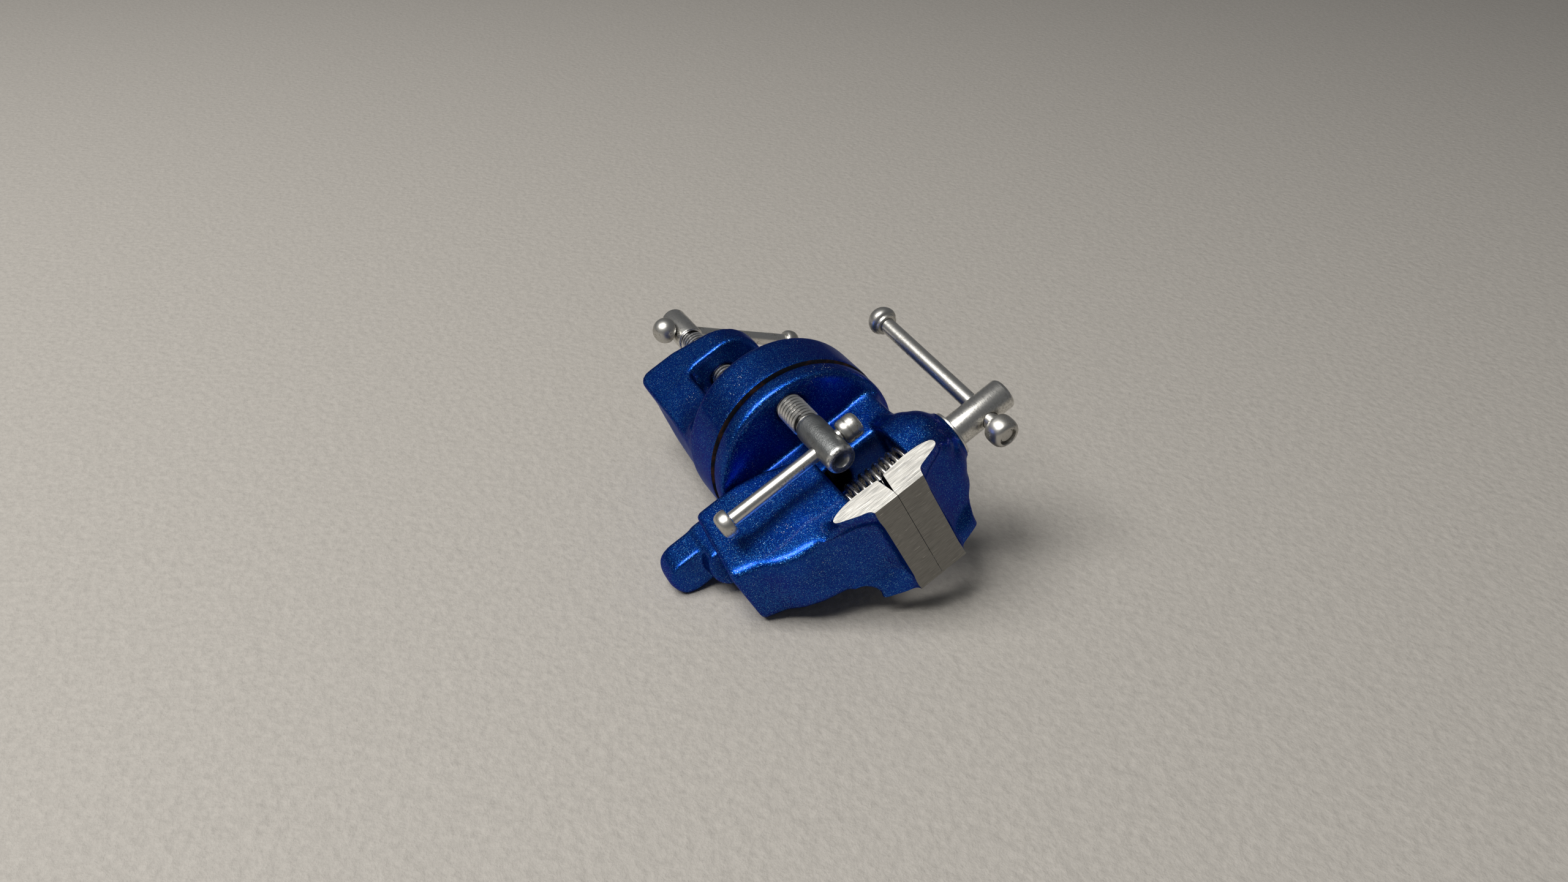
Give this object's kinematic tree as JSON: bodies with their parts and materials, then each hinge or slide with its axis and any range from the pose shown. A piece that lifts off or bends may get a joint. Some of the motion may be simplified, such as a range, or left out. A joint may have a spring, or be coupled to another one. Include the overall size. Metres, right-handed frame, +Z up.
{
  "type": "bench vise",
  "caption": "Small clamp-on bench vise: swivel base with a C-clamp foot, cast jaws closed by a screw with a sliding T-bar, and a T-bar swivel lock.",
  "frame": {"origin": "centre of the flat underside of the swivel base, the face that sits on the bench top, on the swivel axis", "axes": "+Z up along the swivel axis; the main screw lies along Y with its handle on the -Y side, and the jaws open towards +Y; the lock screw is on the +X side"},
  "size_m": [0.045, 0.0749, 0.1021],
  "materials": {
    "casting_paint": "glossy metallic-flake blue enamel; the jaws are ground bare",
    "plated_steel": "thin bright plating, slightly yellow and speckled",
    "screw_steel": "bright turned steel, lightly mottled",
    "zinc_steel": "dull grey zinc",
    "blackened_steel": "black oxide",
    "spring_wire": "bright drawn wire"
  },
  "bodies": {
    "base": {"clamp_frame": "casting_paint", "pivot_screw": "blackened_steel", "pivot_washer": "blackened_steel"},
    "clamp_foot": {"clamp_pad": "zinc_steel"},
    "clamp_spindle": {"clamp_screw": "screw_steel"},
    "clamp_handle": {"clamp_bar": "plated_steel", "clamp_bar_near_knob": "plated_steel", "clamp_bar_far_knob": "plated_steel"},
    "vise_body": {"fixed_jaw_body": "casting_paint", "main_washer": "plated_steel", "return_spring": "spring_wire"},
    "lock_spindle": {"lock_screw": "zinc_steel"},
    "lock_handle": {"lock_bar": "plated_steel", "lock_bar_near_knob": "plated_steel", "lock_bar_far_knob": "plated_steel"},
    "sliding_jaw": {"movable_jaw": "casting_paint", "jaw_nut": "zinc_steel"},
    "main_spindle": {"main_screw": "screw_steel"},
    "main_handle": {"main_bar": "plated_steel", "main_bar_near_knob": "plated_steel", "main_bar_far_knob": "plated_steel"}
  },
  "joints": [
    {"name": "swivel", "type": "hinge", "parent": "base", "child": "vise_body", "pos_m": [0, 0, 0.0114], "axis": [0, 0, 1], "continuous": true},
    {"name": "jaw_slide", "type": "slide", "parent": "vise_body", "child": "sliding_jaw", "axis": [0, 1, 0], "range_m": [0, 0.0145], "deforming": ["return_spring"]},
    {"name": "main_screw_turn", "type": "hinge", "parent": "vise_body", "child": "main_spindle", "pos_m": [0, -0.0239, 0.03465], "axis": [0, 1, 0], "range_deg": [-6530, 0]},
    {"name": "main_bar_slide", "type": "slide", "parent": "main_spindle", "child": "main_handle", "axis": [-0.1607, 0, 0.987], "range_m": [-0.001, 0.0275]},
    {"name": "lock_screw_turn", "type": "hinge", "parent": "vise_body", "child": "lock_spindle", "pos_m": [0.0141, -0.0022, 0.016], "axis": [0, 0, 1], "range_deg": [-85, 6]},
    {"name": "lock_bar_slide", "type": "slide", "parent": "lock_spindle", "child": "lock_handle", "axis": [0, -1, 0], "range_m": [0, 0.0193]},
    {"name": "clamp_travel", "type": "slide", "parent": "base", "child": "clamp_foot", "axis": [0, 0, 1], "range_m": [-0.01, 0.0077]},
    {"name": "clamp_screw_turn", "type": "hinge", "parent": "clamp_foot", "child": "clamp_spindle", "pos_m": [0, 0.0015, -0.04], "axis": [0, 0, 1], "range_deg": [-3602, 2774]},
    {"name": "clamp_bar_slide", "type": "slide", "parent": "clamp_spindle", "child": "clamp_handle", "axis": [0.7254, 0.6884, 0], "range_m": [0, 0.025]}
  ],
  "couplings": [
    {"joint": "main_screw_turn", "follows": "jaw_slide", "rad_per_m": -7854},
    {"joint": "clamp_screw_turn", "follows": "clamp_travel", "rad_per_m": 6283.2}
  ]
}
